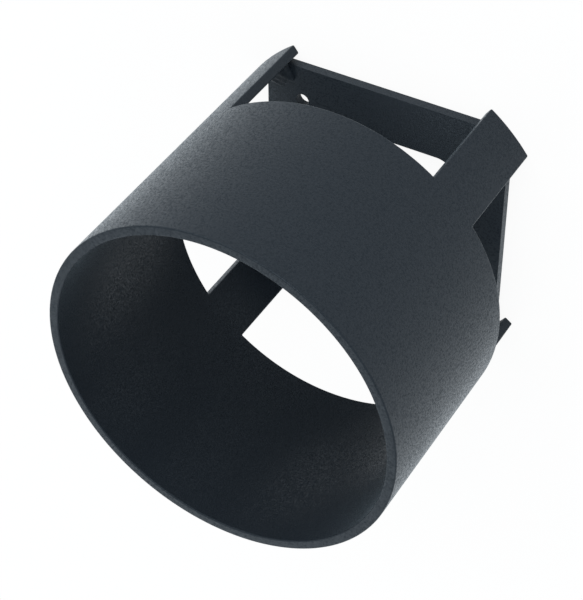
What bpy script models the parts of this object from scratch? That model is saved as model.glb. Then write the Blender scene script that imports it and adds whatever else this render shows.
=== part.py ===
"""A snoot: a short metal tube that narrows the beam of a stage or studio lamp.

The tube's back edge is cut into four tabs. A square frame sits between the ends of the tabs, and
its corners are welded to them. The frame has four screw holes for the lamp's face.

Metres, +Z up. The snoot stands on its mounting side: Z 0 is the back of the frame and the ends of
the tabs, the tube's axis is the Z axis, and light leaves upwards through the mouth.
"""

import math

import bmesh
import bpy
from mathutils import Matrix

# Tube and its tabs
TUBE_DIAMETER = 0.110
TUBE_WALL = 0.003
BODY_LENGTH = 0.063  # the unbroken tube, from the mouth to the roots of the tabs
TAB_LENGTH = 0.036
TAB_WIDTH = 0.0175  # measured round the outside of the tube

# Mounting frame
FRAME_THICKNESS = 0.003
CORNER_LAND = 0.0087  # width of each cut-off corner, where the frame bears on a tab
FRAME_BAR = 0.01625  # from the frame's edge to its opening
OPENING_CORNER_RADIUS = 0.006
HOLE_DIAMETER = 0.0044  # clears an M4 screw
HOLE_TO_OPENING = 0.0045  # from a hole's centre to the line of each side of the opening

# Welds, one in each corner between a tab and the front of the frame
WELD_LENGTH = 0.0085  # across the corner
WELD_LEG = 0.0062  # out over the frame
WELD_RISE = 0.0048  # up the inside of the tab

SEAT_CLEARANCE = 0.0003  # between pieces that touch on the real snoot

# Fine-textured black powder coating, a little rougher where it lies over weld metal
COAT_COLOUR = (0.012, 0.016, 0.021, 1.0)
SHEET_ROUGHNESS = 0.36
WELD_ROUGHNESS = 0.4

# Derived sizes
TUBE_RADIUS = TUBE_DIAMETER / 2
BORE_RADIUS = TUBE_RADIUS - TUBE_WALL
OVERALL_LENGTH = TAB_LENGTH + BODY_LENGTH
HALF_TAB_ANGLE = math.asin(TAB_WIDTH / 2 / TUBE_RADIUS)
SEAT_RADIUS = BORE_RADIUS - SEAT_CLEARANCE  # the frame's corners and the welds stop here
HALF_LAND_ANGLE = math.asin(CORNER_LAND / 2 / SEAT_RADIUS)
HALF_FRAME = SEAT_RADIUS * math.cos(math.pi / 4 - HALF_LAND_ANGLE)
HALF_OPENING = HALF_FRAME - FRAME_BAR
HOLE_OFFSET = HALF_OPENING + HOLE_TO_OPENING
QUARTER_TURN = math.pi / 2
DIAGONALS = [QUARTER_TURN * (quadrant + 0.5) for quadrant in range(4)]

# Fineness of the round shapes
TUBE_STEPS = 96
WINDOW_STEPS = 16
CORNER_STEPS = 6
HOLE_STEPS = 24
WELD_SEGMENTS = 20
WELD_RINGS = 12


def clear_scene():
    """Removes what the file holds, so that the script can be run again."""
    for old in list(bpy.data.objects):
        bpy.data.objects.remove(old)


def new_collection(name):
    collection = bpy.data.collections.new(name)
    bpy.context.scene.collection.children.link(collection)
    return collection


def coated(name, roughness):
    """Powder coating covers the metal, so the surface itself isn't metallic."""
    material = bpy.data.materials.new(name)
    material.use_nodes = True
    shader = material.node_tree.nodes["Principled BSDF"]
    shader.inputs["Base Color"].default_value = COAT_COLOUR
    shader.inputs["Roughness"].default_value = roughness
    shader.inputs["Metallic"].default_value = 0.0
    return material


def tube_coating():
    return coated("tube_coating", SHEET_ROUGHNESS)


def frame_coating():
    return coated("frame_coating", SHEET_ROUGHNESS)


def weld_coating():
    return coated("weld_coating", WELD_ROUGHNESS)


def arc(centre, radius, start, end, steps):
    """Points on an arc in the XY plane, with both of its ends."""
    angles = [start + (end - start) * step / steps for step in range(steps + 1)]
    return [(centre[0] + radius * math.cos(a), centre[1] + radius * math.sin(a)) for a in angles]


def flat_piece(name, outlines, low, high, collection):
    """A flat plate between two heights. An outline inside another one is a hole in it."""
    curve = bpy.data.curves.new(name, "CURVE")
    curve.dimensions = "2D"
    curve.fill_mode = "BOTH"
    curve.extrude = (high - low) / 2
    for outline in outlines:
        spline = curve.splines.new("POLY")
        spline.points.add(len(outline) - 1)
        for point, (x, y) in zip(spline.points, outline):
            point.co = (x, y, 0.0, 1.0)
        spline.use_cyclic_u = True
    piece = bpy.data.objects.new(name, curve)
    piece.location.z = (low + high) / 2
    collection.objects.link(piece)
    return piece


def made_mesh(piece, collection):
    """The same shape as a mesh object, because a curve can't be a cutter."""
    bpy.context.view_layer.update()
    mesh = bpy.data.meshes.new_from_object(piece.evaluated_get(bpy.context.evaluated_depsgraph_get()))
    shell = bmesh.new()
    shell.from_mesh(mesh)
    bmesh.ops.remove_doubles(shell, verts=shell.verts, dist=1e-6)
    shell.to_mesh(mesh)
    shell.free()
    made = bpy.data.objects.new(piece.name + "_mesh", mesh)
    made.matrix_world = piece.matrix_world
    bpy.data.objects.remove(piece)
    collection.objects.link(made)
    return made


def as_guide(piece):
    """Cutters shape the pieces and aren't pieces themselves."""
    piece.hide_render = True
    piece.display_type = "WIRE"
    return piece


def add_boolean(piece, operation, guide):
    boolean = piece.modifiers.new(operation.lower(), "BOOLEAN")
    boolean.operation = operation
    boolean.object = guide


def window_cutter(guides):
    """The four gaps between the tabs, cut square to the tube's wall from its back edge."""
    inner = BORE_RADIUS - TUBE_WALL
    outer = TUBE_RADIUS + TUBE_WALL
    outlines = []
    for diagonal in DIAGONALS:
        start = diagonal + HALF_TAB_ANGLE
        end = diagonal + QUARTER_TURN - HALF_TAB_ANGLE
        outward = arc((0, 0), outer, start, end, WINDOW_STEPS)
        inward = arc((0, 0), inner, end, start, WINDOW_STEPS)
        outlines.append(outward + inward)
    windows = flat_piece("tab_windows", outlines, -TAB_LENGTH, TAB_LENGTH, guides)
    return as_guide(made_mesh(windows, guides))


def snoot_tube(windows, coating, parts):
    """Round tube, turned from its wall's section, with the windows cut away between the tabs."""
    section = [
        (TUBE_RADIUS, OVERALL_LENGTH),
        (TUBE_RADIUS, 0.0),
        (BORE_RADIUS, 0.0),
        (BORE_RADIUS, OVERALL_LENGTH),
    ]
    profile = bmesh.new()
    corners = [profile.verts.new((radius, 0.0, height)) for radius, height in section]
    for corner, following in zip(corners, corners[1:] + corners[:1]):
        profile.edges.new((corner, following))
    mesh = bpy.data.meshes.new("snoot_tube")
    profile.to_mesh(mesh)
    profile.free()
    tube = bpy.data.objects.new("snoot_tube", mesh)
    parts.objects.link(tube)
    turn = tube.modifiers.new("turn", "SCREW")
    turn.axis = "Z"
    turn.angle = math.tau
    turn.steps = TUBE_STEPS
    turn.render_steps = TUBE_STEPS
    turn.use_smooth_shade = False
    add_boolean(tube, "DIFFERENCE", windows)
    tube.data.materials.append(coating)


def mounting_frame(coating, parts):
    """Square frame. Its corners are cut to the tube's bore, and it lies level with the tab ends."""
    edge, opening, holes = [], [], []
    opening_arc_centre = HALF_OPENING - OPENING_CORNER_RADIUS
    for diagonal in DIAGONALS:
        edge += arc(
            (0, 0),
            SEAT_RADIUS,
            diagonal - HALF_LAND_ANGLE,
            diagonal + HALF_LAND_ANGLE,
            CORNER_STEPS,
        )
        towards = (math.copysign(1, math.cos(diagonal)), math.copysign(1, math.sin(diagonal)))
        opening += arc(
            (towards[0] * opening_arc_centre, towards[1] * opening_arc_centre),
            OPENING_CORNER_RADIUS,
            diagonal - QUARTER_TURN / 2,
            diagonal + QUARTER_TURN / 2,
            CORNER_STEPS,
        )
        hole_centre = (towards[0] * HOLE_OFFSET, towards[1] * HOLE_OFFSET)
        holes.append(arc(hole_centre, HOLE_DIAMETER / 2, 0.0, math.tau, HOLE_STEPS)[:-1])
    frame = flat_piece("mounting_frame", [edge, opening, *holes], 0.0, FRAME_THICKNESS, parts)
    frame.data.materials.append(coating)


def weld_room(guides):
    """The space that the welds may fill: inside the tabs and above the front of the frame."""
    low = FRAME_THICKNESS + SEAT_CLEARANCE
    high = TAB_LENGTH
    bpy.ops.mesh.primitive_cylinder_add(
        vertices=TUBE_STEPS,
        radius=SEAT_RADIUS,
        depth=high - low,
        location=(0.0, 0.0, (low + high) / 2),
    )
    room = bpy.context.object
    room.name = "weld_room"
    room.users_collection[0].objects.unlink(room)
    guides.objects.link(room)
    return as_guide(room)


def corner_weld(number, diagonal, room, coating, parts):
    """A rounded lump of weld metal, which fills the corner between a tab and the frame."""
    lump = bmesh.new()
    bmesh.ops.create_uvsphere(
        lump,
        u_segments=WELD_SEGMENTS,
        v_segments=WELD_RINGS,
        radius=1.0,
        matrix=Matrix.Diagonal((WELD_LEG, WELD_LENGTH / 2, WELD_RISE, 1.0)),
    )
    name = f"corner_weld_{number}"
    mesh = bpy.data.meshes.new(name)
    lump.to_mesh(mesh)
    lump.free()
    weld = bpy.data.objects.new(name, mesh)
    weld.location = (
        BORE_RADIUS * math.cos(diagonal),
        BORE_RADIUS * math.sin(diagonal),
        FRAME_THICKNESS,
    )
    weld.rotation_euler.z = diagonal
    parts.objects.link(weld)
    add_boolean(weld, "INTERSECT", room)
    weld.data.materials.append(coating)


def build_snoot():
    clear_scene()
    parts = new_collection("snoot")
    guides = new_collection("cutters")
    snoot_tube(window_cutter(guides), tube_coating(), parts)
    mounting_frame(frame_coating(), parts)
    room = weld_room(guides)
    bead_coating = weld_coating()
    for number, diagonal in enumerate(DIAGONALS, start=1):
        corner_weld(number, diagonal, room, bead_coating, parts)


build_snoot()
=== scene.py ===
import math

import bmesh
import bpy
from mathutils import Matrix


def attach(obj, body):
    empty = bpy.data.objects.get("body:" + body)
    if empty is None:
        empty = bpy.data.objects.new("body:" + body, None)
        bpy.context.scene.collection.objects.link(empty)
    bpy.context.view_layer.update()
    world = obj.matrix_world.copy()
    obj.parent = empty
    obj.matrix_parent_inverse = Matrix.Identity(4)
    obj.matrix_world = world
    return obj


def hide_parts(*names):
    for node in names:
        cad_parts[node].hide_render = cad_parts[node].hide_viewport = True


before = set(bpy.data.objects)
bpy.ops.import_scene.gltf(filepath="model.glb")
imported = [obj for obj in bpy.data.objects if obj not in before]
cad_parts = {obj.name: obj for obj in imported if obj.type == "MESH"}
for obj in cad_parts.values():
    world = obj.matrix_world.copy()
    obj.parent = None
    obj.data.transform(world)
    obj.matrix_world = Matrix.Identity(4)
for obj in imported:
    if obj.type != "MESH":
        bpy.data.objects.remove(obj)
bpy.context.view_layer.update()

# ---- Snoot tube -------------------------------------------------------------------------------
# One length of 110 mm aluminium tube with a 3 mm wall. Its back edge is cut into four tabs, with
# side cuts square to the wall, and the cut edges are only as round as the coating makes them.
TUBE_RADIUS = 0.055
TUBE_WALL = 0.003
BORE_RADIUS = TUBE_RADIUS - TUBE_WALL
BODY_LENGTH = 0.063
TAB_LENGTH = 0.036
TUBE_FACES = 256
FACE_ANGLE = math.tau / TUBE_FACES
TAB_FACES = 13  # a tab is this many of the tube's faces wide
JUST_ABOVE = 1e-5
COATED_EDGE = 0.00045
COATED_EDGE_SEGMENTS = 3
TUBE_CUT_ANGLE = 40.0  # in degrees: the coating rounds each edge that turns more than this
QUARTER_TURN = math.pi / 2
DIAGONALS = [QUARTER_TURN * (quadrant + 0.5) for quadrant in range(4)]


def apply_all_modifiers(piece):
    for modifier in list(piece.modifiers):
        bpy.ops.object.modifier_apply(modifier=modifier.name)


def select_edges(piece, wanted):
    """In edit mode, selects the edges for which wanted(edge) is true, and nothing else."""
    bpy.ops.mesh.select_mode(type="EDGE")
    bpy.ops.mesh.select_all(action="DESELECT")
    shape = bmesh.from_edit_mesh(piece.data)
    for edge in shape.edges:
        if wanted(edge):
            edge.select_set(True)
    bmesh.update_edit_mesh(piece.data)


def round_and_shade(piece, cut_angle):
    """The coating rounds every cut edge a little, and the flats between them stay flat."""
    bevel = piece.modifiers.new("coated_edges", "BEVEL")
    bevel.width = COATED_EDGE
    bevel.segments = COATED_EDGE_SEGMENTS
    bevel.limit_method = "ANGLE"
    bevel.angle_limit = math.radians(cut_angle)
    apply_all_modifiers(piece)
    bpy.ops.object.shade_smooth()
    piece.modifiers.new("flat_faces", "WEIGHTED_NORMAL")
    apply_all_modifiers(piece)


def on_a_tab(edge):
    """True for the edges round the tube's back where a tab grows from it."""
    if max(vertex.co.z for vertex in edge.verts) > TAB_LENGTH + JUST_ABOVE:
        return False
    middle = (edge.verts[0].co + edge.verts[1].co) / 2
    angle = math.atan2(middle.y, middle.x)
    from_diagonal = abs((angle % QUARTER_TURN) - QUARTER_TURN / 2)
    return from_diagonal < FACE_ANGLE * TAB_FACES / 2


bpy.ops.object.select_all(action="DESELECT")
bpy.ops.mesh.primitive_cylinder_add(
    vertices=TUBE_FACES,
    radius=TUBE_RADIUS,
    depth=BODY_LENGTH,
    end_fill_type="NOTHING",
    location=(0.0, 0.0, TAB_LENGTH + BODY_LENGTH / 2),
    rotation=(0.0, 0.0, FACE_ANGLE / 2),
)
tube = bpy.context.object
tube.name = "dressed_tube"
bpy.ops.object.transform_apply(location=True, rotation=True, scale=True)
bpy.ops.object.mode_set(mode="EDIT")
select_edges(tube, on_a_tab)
bpy.ops.mesh.extrude_region_move(TRANSFORM_OT_translate={"value": (0.0, 0.0, -TAB_LENGTH)})
bpy.ops.object.mode_set(mode="OBJECT")
wall = tube.modifiers.new("wall", "SOLIDIFY")
wall.thickness = TUBE_WALL
wall.offset = -1.0  # inwards
wall.use_even_offset = True
round_and_shade(tube, TUBE_CUT_ANGLE)

# Black powder coating: plastic grains baked into a fine pebbled skin, with a grain about every
# 0.45 mm on lumps of about 0.6 mm. The lumps' tips are shinier than the pits between them, and
# the coat is a little rougher in some places than in others. The pits are also painted a shade
# darker than the tips: painted shade between the lumps.
PIT_COLOUR_PAINTED_SHADE = (0.0094, 0.0130, 0.0178, 1.0)
TIP_COLOUR = (0.0100, 0.0138, 0.0189, 1.0)
SHEET_ROUGHNESS = 0.36
SHEET_GRAIN_DEPTH = 0.00003
SHEET_GLOSS = 0.17
SHEET_SHEEN = 0.11
LUMPS_PER_METRE = 1600.0
GRAINS_PER_METRE = 2200.0
PATCHES_PER_METRE = 45.0
NOISE_DETAIL = 3.0
LUMP_NOISE_ROUGHNESS = 0.6
PATCH_NOISE_ROUGHNESS = 0.5
GRAIN_TOP = 0.8  # a grain's height at its middle, from which it falls away all round
PIT_LEVEL, TIP_LEVEL = 0.36, 0.64  # of the lump noise
LUMP_HEIGHT = 0.4  # beside a grain's
MIDDLE_LEVEL = 0.5
PATCH_ROUGHNESS = 0.12
TIP_POLISH = 0.5
TIP_SHINE, PIT_SHINE = 0.2, 0.08  # a tip has both
COAT_TINT = (0.76, 0.89, 1.0, 1.0)
SPECULAR_TINT = (0.74, 0.885, 1.0, 1.0)
SHEEN_TINT = (0.75, 0.90, 1.0, 1.0)
SHEEN_ROUGHNESS = 0.4


def new_group(name, inputs, outputs):
    """An empty shader node group with named sockets: (name, kind, default) for each input."""
    group = bpy.data.node_groups.new(name, "ShaderNodeTree")
    for label, kind, default in inputs:
        socket = group.interface.new_socket(label, in_out="INPUT", socket_type=kind)
        socket.default_value = default
    for label, kind in outputs:
        group.interface.new_socket(label, in_out="OUTPUT", socket_type=kind)
    return group, group.nodes.new("NodeGroupInput"), group.nodes.new("NodeGroupOutput")


def feed(tree, socket, source):
    """Gives a socket either a link or its own value."""
    if isinstance(source, bpy.types.NodeSocket):
        tree.links.new(source, socket)
    else:
        socket.default_value = source


def math_node(tree, operation, first, second):
    node = tree.nodes.new("ShaderNodeMath")
    node.operation = operation
    feed(tree, node.inputs[0], first)
    feed(tree, node.inputs[1], second)
    return node.outputs[0]


def noise_node(tree, coordinates, scale, roughness):
    node = tree.nodes.new("ShaderNodeTexNoise")
    feed(tree, node.inputs["Vector"], coordinates)
    feed(tree, node.inputs["Scale"], scale)
    feed(tree, node.inputs["Detail"], NOISE_DETAIL)
    feed(tree, node.inputs["Roughness"], roughness)
    return node.outputs["Fac"]


def ramp_node(tree, source, low, high, at_low=0.0, at_high=1.0):
    """A value that runs from at_low to at_high while its source runs from low to high."""
    node = tree.nodes.new("ShaderNodeMapRange")
    feed(tree, node.inputs["Value"], source)
    feed(tree, node.inputs["From Min"], low)
    feed(tree, node.inputs["From Max"], high)
    feed(tree, node.inputs["To Min"], at_low)
    feed(tree, node.inputs["To Max"], at_high)
    return node.outputs["Result"]


coat, coat_in, coat_out = new_group(
    "powder_grain",
    [
        ("Coordinates", "NodeSocketVector", (0.0, 0.0, 0.0)),
        ("Pits with painted shade", "NodeSocketColor", PIT_COLOUR_PAINTED_SHADE),
        ("Tips", "NodeSocketColor", TIP_COLOUR),
        ("Roughness", "NodeSocketFloat", SHEET_ROUGHNESS),
        ("Lumps per metre", "NodeSocketFloat", LUMPS_PER_METRE),
        ("Grains per metre", "NodeSocketFloat", GRAINS_PER_METRE),
    ],
    [
        ("Color", "NodeSocketColor"),
        ("Roughness", "NodeSocketFloat"),
        ("Shine", "NodeSocketFloat"),
        ("Height", "NodeSocketFloat"),
    ],
)
on_piece = coat_in.outputs["Coordinates"]
pebbles = coat.nodes.new("ShaderNodeTexVoronoi")
pebbles.feature = "F1"
feed(coat, pebbles.inputs["Vector"], on_piece)
feed(coat, pebbles.inputs["Scale"], coat_in.outputs["Grains per metre"])
grains = math_node(coat, "SUBTRACT", GRAIN_TOP, pebbles.outputs["Distance"])
lump_noise = noise_node(coat, on_piece, coat_in.outputs["Lumps per metre"], LUMP_NOISE_ROUGHNESS)
lumps = ramp_node(coat, lump_noise, PIT_LEVEL, TIP_LEVEL)
patches = noise_node(coat, on_piece, PATCHES_PER_METRE, PATCH_NOISE_ROUGHNESS)
raised = math_node(coat, "MULTIPLY", lumps, LUMP_HEIGHT)
feed(coat, coat_out.inputs["Height"], math_node(coat, "ADD", grains, raised))
# Painted shade: the colour darkens from the tips' colour to the pits' colour as the lumps fall
# away.
tone_with_painted_pit_shade = coat.nodes.new("ShaderNodeMix")
tone_with_painted_pit_shade.data_type = "RGBA"
feed(coat, tone_with_painted_pit_shade.inputs["A"], coat_in.outputs["Pits with painted shade"])
feed(coat, tone_with_painted_pit_shade.inputs["B"], coat_in.outputs["Tips"])
feed(coat, tone_with_painted_pit_shade.inputs["Factor"], lumps)
feed(coat, coat_out.inputs["Color"], tone_with_painted_pit_shade.outputs["Result"])
off_middle = math_node(coat, "SUBTRACT", patches, MIDDLE_LEVEL)
patchy = math_node(coat, "MULTIPLY", off_middle, PATCH_ROUGHNESS)
below_tips = math_node(coat, "SUBTRACT", MIDDLE_LEVEL, lumps)
polish = math_node(coat, "MULTIPLY", below_tips, TIP_POLISH)
uneven = math_node(coat, "ADD", patchy, polish)
rough = math_node(coat, "ADD", coat_in.outputs["Roughness"], uneven)
feed(coat, coat_out.inputs["Roughness"], rough)
shine = math_node(coat, "ADD", math_node(coat, "MULTIPLY", lumps, TIP_SHINE), PIT_SHINE)
feed(coat, coat_out.inputs["Shine"], shine)


def powder_coating(name, roughness, grain_depth, gloss=SHEET_GLOSS, sheen=SHEET_SHEEN):
    material = bpy.data.materials.new(name)
    material.use_nodes = True
    tree = material.node_tree
    shader = tree.nodes["Principled BSDF"]
    place = tree.nodes.new("ShaderNodeTexCoord")
    place.name = "place"
    grain = tree.nodes.new("ShaderNodeGroup")
    grain.name = "grain"
    grain.node_tree = coat
    feed(tree, grain.inputs["Roughness"], roughness)
    feed(tree, grain.inputs["Coordinates"], place.outputs["Object"])
    bump = tree.nodes.new("ShaderNodeBump")
    feed(tree, bump.inputs["Distance"], grain_depth)
    feed(tree, bump.inputs["Height"], grain.outputs["Height"])
    feed(tree, shader.inputs["Base Color"], grain.outputs["Color"])
    feed(tree, shader.inputs["Roughness"], grain.outputs["Roughness"])
    feed(tree, shader.inputs["Normal"], bump.outputs["Normal"])
    feed(tree, shader.inputs["Coat Weight"], grain.outputs["Shine"])
    feed(tree, shader.inputs["Coat Roughness"], roughness)
    feed(tree, shader.inputs["Coat Tint"], COAT_TINT)
    feed(tree, shader.inputs["Specular IOR Level"], gloss)
    feed(tree, shader.inputs["Specular Tint"], SPECULAR_TINT)
    feed(tree, shader.inputs["Sheen Weight"], sheen)
    feed(tree, shader.inputs["Sheen Roughness"], SHEEN_ROUGHNESS)
    feed(tree, shader.inputs["Sheen Tint"], SHEEN_TINT)
    return material


# Powder reaches the closed part of the bore less well, so the skin there is thinner and duller.
BORE_DULLING = 0.08
BORE_SHINE_LOST = 0.5
BORE_BLEND = 0.004  # above and below the roots of the tabs


def dull_the_bore(material):
    tree = material.node_tree
    shader = tree.nodes["Principled BSDF"]
    grain = tree.nodes["grain"]
    on_tube = tree.nodes["place"].outputs["Object"]
    across = tree.nodes.new("ShaderNodeVectorMath")
    across.operation = "MULTIPLY"
    feed(tree, across.inputs[0], on_tube)
    feed(tree, across.inputs[1], (1.0, 1.0, 0.0))
    from_axis = tree.nodes.new("ShaderNodeVectorMath")
    from_axis.operation = "LENGTH"
    feed(tree, from_axis.inputs[0], across.outputs["Vector"])
    radius = from_axis.outputs["Value"]
    in_bore = ramp_node(tree, radius, BORE_RADIUS, BORE_RADIUS + COATED_EDGE, 1.0, 0.0)
    parts = tree.nodes.new("ShaderNodeSeparateXYZ")
    feed(tree, parts.inputs[0], on_tube)
    height = parts.outputs["Z"]
    above_tabs = ramp_node(tree, height, TAB_LENGTH - BORE_BLEND, TAB_LENGTH + BORE_BLEND)
    deep = math_node(tree, "MULTIPLY", in_bore, above_tabs)
    duller = math_node(tree, "MULTIPLY", deep, BORE_DULLING)
    rough = math_node(tree, "ADD", grain.outputs["Roughness"], duller)
    feed(tree, shader.inputs["Roughness"], rough)
    lost = math_node(tree, "MULTIPLY", deep, BORE_SHINE_LOST)
    kept = math_node(tree, "SUBTRACT", 1.0, lost)
    shine = math_node(tree, "MULTIPLY", grain.outputs["Shine"], kept)
    feed(tree, shader.inputs["Coat Weight"], shine)


tube_coating = powder_coating("tube_coating", SHEET_ROUGHNESS, SHEET_GRAIN_DEPTH)
dull_the_bore(tube_coating)
tube.data.materials.append(tube_coating)
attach(tube, "root")
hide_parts("snoot_tube")

# ---- Mounting frame ---------------------------------------------------------------------------
# A square of 3 mm aluminium plate with its corners cut off to drop between the tabs. The lamp
# shines through the opening, and a screw goes through the hole in each corner. Flat plate faces
# the spray, so its coat is a little glossier than the tube's.
FRAME_SIDE = 0.07901
FRAME_THICKNESS = 0.003
CORNER_CUT = 0.0056
OPENING_SIDE = 0.04651
OPENING_CORNER_RADIUS = 0.006
OPENING_CORNER_SEGMENTS = 16
HOLE_OFFSET = 0.027755
HOLE_RADIUS = 0.0022
HOLE_SIDES = 48
CUTTER_HEIGHT = 3 * FRAME_THICKNESS
FRAME_CUT_ANGLE = 50.0
FRAME_GLOSS = 0.27
FRAME_SHEEN = 0.15


def square_block(side, height):
    """A block on the tube's axis, centred on the plate's thickness."""
    bpy.ops.mesh.primitive_cube_add(
        size=1.0, location=(0.0, 0.0, FRAME_THICKNESS / 2), scale=(side, side, height)
    )
    bpy.ops.object.transform_apply(location=True, rotation=True, scale=True)
    return bpy.context.object


def upright(edge):
    return abs(edge.verts[0].co.z - edge.verts[1].co.z) > FRAME_THICKNESS / 2


def cut_corners(block, offset, segments):
    bpy.ops.object.mode_set(mode="EDIT")
    select_edges(block, upright)
    bpy.ops.mesh.bevel(offset=offset, segments=segments, affect="EDGES")
    bpy.ops.object.mode_set(mode="OBJECT")


bpy.ops.object.select_all(action="DESELECT")
plate = square_block(FRAME_SIDE, FRAME_THICKNESS)
plate.name = "dressed_frame"
cut_corners(plate, CORNER_CUT, 1)
opening = square_block(OPENING_SIDE, CUTTER_HEIGHT)
cut_corners(opening, OPENING_CORNER_RADIUS, OPENING_CORNER_SEGMENTS)
cutters = [opening]
for diagonal in DIAGONALS:
    hole_x = math.copysign(HOLE_OFFSET, math.cos(diagonal))
    hole_y = math.copysign(HOLE_OFFSET, math.sin(diagonal))
    bpy.ops.mesh.primitive_cylinder_add(
        vertices=HOLE_SIDES,
        radius=HOLE_RADIUS,
        depth=CUTTER_HEIGHT,
        location=(hole_x, hole_y, FRAME_THICKNESS / 2),
    )
    cutters.append(bpy.context.object)
bpy.ops.object.select_all(action="DESELECT")
bpy.context.view_layer.objects.active = plate
plate.select_set(True)
for cutter in cutters:
    cut = plate.modifiers.new("cut", "BOOLEAN")
    cut.object = cutter
    bpy.ops.object.modifier_apply(modifier=cut.name)
    bpy.data.objects.remove(cutter)
round_and_shade(plate, FRAME_CUT_ANGLE)
plate.data.materials.append(
    powder_coating("frame_coating", SHEET_ROUGHNESS, SHEET_GRAIN_DEPTH, FRAME_GLOSS, FRAME_SHEEN)
)
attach(plate, "root")
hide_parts("mounting_frame")

# ---- Corner welds -----------------------------------------------------------------------------
# A short fillet of weld metal joins each tab to the front of the frame. It was laid in a few
# overlapping puddles, each of which ran out over the frame and washed up the tab, and the coating
# covers it as it does the sheet.
RUN_OUT = (0.0064, 0.0027)  # how far a lobe reaches over the frame, and how far up the tab
MIDDLE = (0.0051, 0.0035)
WASH_UP = (0.0029, 0.0048)
PUDDLE_SIZES = (1.0, 0.98, 0.99, 0.97, 0.98)
PUDDLE_SPACING = 0.0010
PUDDLE_LENGTH = 0.0023
PUDDLE_SEGMENTS = 48
PUDDLE_RINGS = 24
FUSED_FACE = 0.0002
SOFTENING = 0.5
SOFTENING_PASSES = 20
DEPTH_IN_TAB = 0.0008
DEPTH_IN_FRAME = 0.0002
SAME_POINT = 1e-6
WELD_CUT_ANGLE = 60
WELD_ROUGHNESS = 0.40
WELD_GRAIN_DEPTH = 0.00007
WELD_DRIFTS = (0.0004, -0.0006, 0.0002, -0.0005)  # along the tab, off its middle

bpy.ops.object.select_all(action="DESELECT")
puddles = []
for count, size in enumerate(PUDDLE_SIZES):
    across = (count - (len(PUDDLE_SIZES) - 1) / 2) * PUDDLE_SPACING
    for reach, height in (RUN_OUT, MIDDLE, WASH_UP):
        bpy.ops.mesh.primitive_uv_sphere_add(
            segments=PUDDLE_SEGMENTS,
            ring_count=PUDDLE_RINGS,
            radius=1.0,
            location=(BORE_RADIUS, across, FRAME_THICKNESS),
            scale=(reach * size, PUDDLE_LENGTH, height * size),
        )
        puddles.append(bpy.context.object)
bpy.ops.object.select_all(action="DESELECT")
for puddle in puddles:
    puddle.select_set(True)
bpy.context.view_layer.objects.active = puddles[0]
bpy.ops.object.join()
bead = bpy.context.object
bpy.ops.object.transform_apply(location=True, rotation=True, scale=True)
fuse = bead.modifiers.new("fuse", "REMESH")
fuse.mode = "VOXEL"
fuse.voxel_size = FUSED_FACE
soften = bead.modifiers.new("soften", "SMOOTH")
soften.factor = SOFTENING
soften.iterations = SOFTENING_PASSES
apply_all_modifiers(bead)
bpy.ops.object.mode_set(mode="EDIT")
trims = [
    ((BORE_RADIUS + DEPTH_IN_TAB, 0.0, 0.0), (1.0, 0.0, 0.0)),
    ((0.0, 0.0, FRAME_THICKNESS - DEPTH_IN_FRAME), (0.0, 0.0, -1.0)),
]
for point, outward in trims:
    bpy.ops.mesh.select_all(action="SELECT")
    bpy.ops.mesh.bisect(
        plane_co=point, plane_no=outward, use_fill=True, clear_outer=True, threshold=SAME_POINT
    )
bpy.ops.object.mode_set(mode="OBJECT")
bpy.ops.object.shade_smooth_by_angle(angle=math.radians(WELD_CUT_ANGLE))
bead.data.materials.append(powder_coating("weld_coating", WELD_ROUGHNESS, WELD_GRAIN_DEPTH))
for number, (diagonal, drift) in enumerate(zip(DIAGONALS, WELD_DRIFTS), start=1):
    weld = bead.copy()
    weld.data = bead.data.copy()
    weld.name = f"dressed_weld_{number}"
    weld.data.transform(Matrix.Rotation(diagonal + drift / BORE_RADIUS, 4, "Z"))
    bpy.context.scene.collection.objects.link(weld)
    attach(weld, "root")
    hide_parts(f"corner_weld_{number}")
bpy.data.objects.remove(bead)

# ---- Ground, light and camera -----------------------------------------------------------------
# White paper under the snoot, lit softly from all round and from above. It shows as plain white
# with a faint shadow, and the coating mirrors it less brightly than the white all round.
WHITE = (1.0, 1.0, 1.0, 1.0)
PAPER_SIZE = 6.0
PAPER_HEIGHT = -0.0001
PAPER_COLOUR = (0.9, 0.9, 0.9, 1.0)
PAPER_GLOW = 1.02
SHARE_OF_GLOW_SEEN = 0.9
SHARE_OF_GLOW_MIRRORED = 0.42
ROOM_STRENGTH = 0.8
ROOM_COLOUR = (0.92, 0.97, 1.0, 1.0)
MIRRORED_ROOM_COLOUR = (0.92, 0.972, 1.0, 1.0)

bpy.ops.object.select_all(action="DESELECT")
bpy.ops.mesh.primitive_plane_add(size=PAPER_SIZE, location=(0.0, 0.0, PAPER_HEIGHT))
ground = bpy.context.object
ground.name = "ground"
paper = bpy.data.materials.new("white_paper")
paper.use_nodes = True
tree = paper.node_tree
tree.nodes.clear()
lit = tree.nodes.new("ShaderNodeBsdfDiffuse")
feed(tree, lit.inputs["Color"], PAPER_COLOUR)
glow = tree.nodes.new("ShaderNodeEmission")
feed(tree, glow.inputs["Color"], WHITE)
feed(tree, glow.inputs["Strength"], PAPER_GLOW)
rays = tree.nodes.new("ShaderNodeLightPath").outputs
mirrored = math_node(tree, "MAXIMUM", rays["Is Glossy Ray"], rays["Is Transmission Ray"])
mirrored = math_node(tree, "MULTIPLY", mirrored, SHARE_OF_GLOW_MIRRORED)
seen = math_node(tree, "MULTIPLY", rays["Is Camera Ray"], SHARE_OF_GLOW_SEEN)
mix = tree.nodes.new("ShaderNodeMixShader")
feed(tree, mix.inputs["Fac"], math_node(tree, "MAXIMUM", seen, mirrored))
feed(tree, mix.inputs[1], lit.outputs[0])
feed(tree, mix.inputs[2], glow.outputs[0])
output = tree.nodes.new("ShaderNodeOutputMaterial")
feed(tree, output.inputs["Surface"], mix.outputs[0])
ground.data.materials.append(paper)

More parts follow.
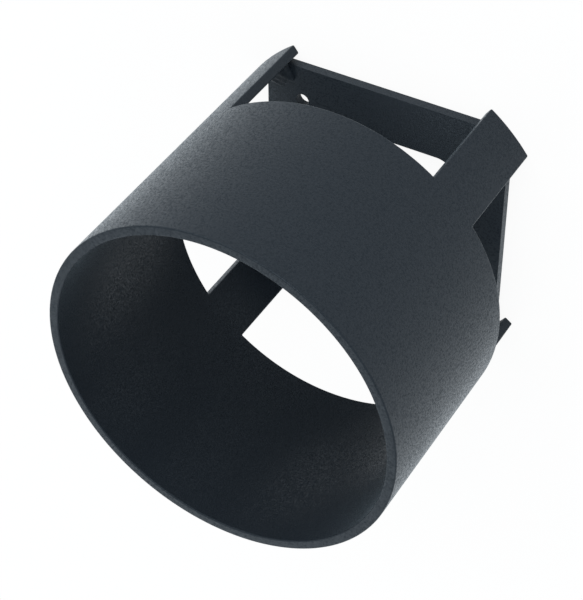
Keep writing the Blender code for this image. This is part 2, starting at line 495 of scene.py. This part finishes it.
world = bpy.data.worlds.new("studio")
bpy.context.scene.world = world
world.use_nodes = True
tree = world.node_tree
tree.nodes.clear()
backgrounds = []
for colour, strength in ((ROOM_COLOUR, ROOM_STRENGTH), (MIRRORED_ROOM_COLOUR, 1.0), (WHITE, 1.0)):
    background = tree.nodes.new("ShaderNodeBackground")
    feed(tree, background.inputs["Color"], colour)
    feed(tree, background.inputs["Strength"], strength)
    backgrounds.append(background.outputs[0])
room, mirrored_room, seen_room = backgrounds
rays = tree.nodes.new("ShaderNodeLightPath").outputs
mirrored = math_node(tree, "MAXIMUM", rays["Is Camera Ray"], rays["Is Glossy Ray"])
mirrored = math_node(tree, "MAXIMUM", mirrored, rays["Is Transmission Ray"])
mix = tree.nodes.new("ShaderNodeMixShader")
feed(tree, mix.inputs["Fac"], mirrored)
feed(tree, mix.inputs[1], room)
feed(tree, mix.inputs[2], mirrored_room)
final = tree.nodes.new("ShaderNodeMixShader")
feed(tree, final.inputs["Fac"], rays["Is Camera Ray"])
feed(tree, final.inputs[1], mix.outputs[0])
feed(tree, final.inputs[2], seen_room)
output = tree.nodes.new("ShaderNodeOutputWorld")
feed(tree, output.inputs["Surface"], final.outputs[0])

SOFTBOX_COLOUR = (0.93, 0.97, 1.0)
SOFTBOXES = [
    # name, place, size, power
    ("key_softbox", (-0.2, -0.8, 0.7), 0.8, 3.0),
    ("side_softbox", (0.6, -1.0, 0.3), 0.8, 3.0),
    ("back_softbox", (0.45, 0.80, 0.78), 0.7, 0.5),
]
for name, place, size, power in SOFTBOXES:
    diffuser = bpy.data.lights.new(name, "AREA")
    diffuser.shape = "DISK"
    diffuser.size = size
    diffuser.energy = power
    diffuser.color = SOFTBOX_COLOUR
    lamp = bpy.data.objects.new(name, diffuser)
    lamp.location = place
    lamp.rotation_euler = lamp.location.to_track_quat("Z", "Y").to_euler()
    bpy.context.scene.collection.objects.link(lamp)

CAMERA_LENS = 118.376
CAMERA_PLACE = (-0.20932, -0.37527, 0.41988)
CAMERA_TURN = (-41.8349, 29.8444, 179.7366)  # in degrees
NEAREST, FARTHEST = 0.01, 20.0

camera_data = bpy.data.cameras.new("camera")
camera_data.lens = CAMERA_LENS
camera_data.clip_start = NEAREST
camera_data.clip_end = FARTHEST
camera = bpy.data.objects.new("camera", camera_data)
camera.location = CAMERA_PLACE
camera.rotation_euler = [math.radians(degrees) for degrees in CAMERA_TURN]
bpy.context.scene.collection.objects.link(camera)
bpy.context.scene.camera = camera
bpy.context.scene.view_settings.view_transform = "Standard"
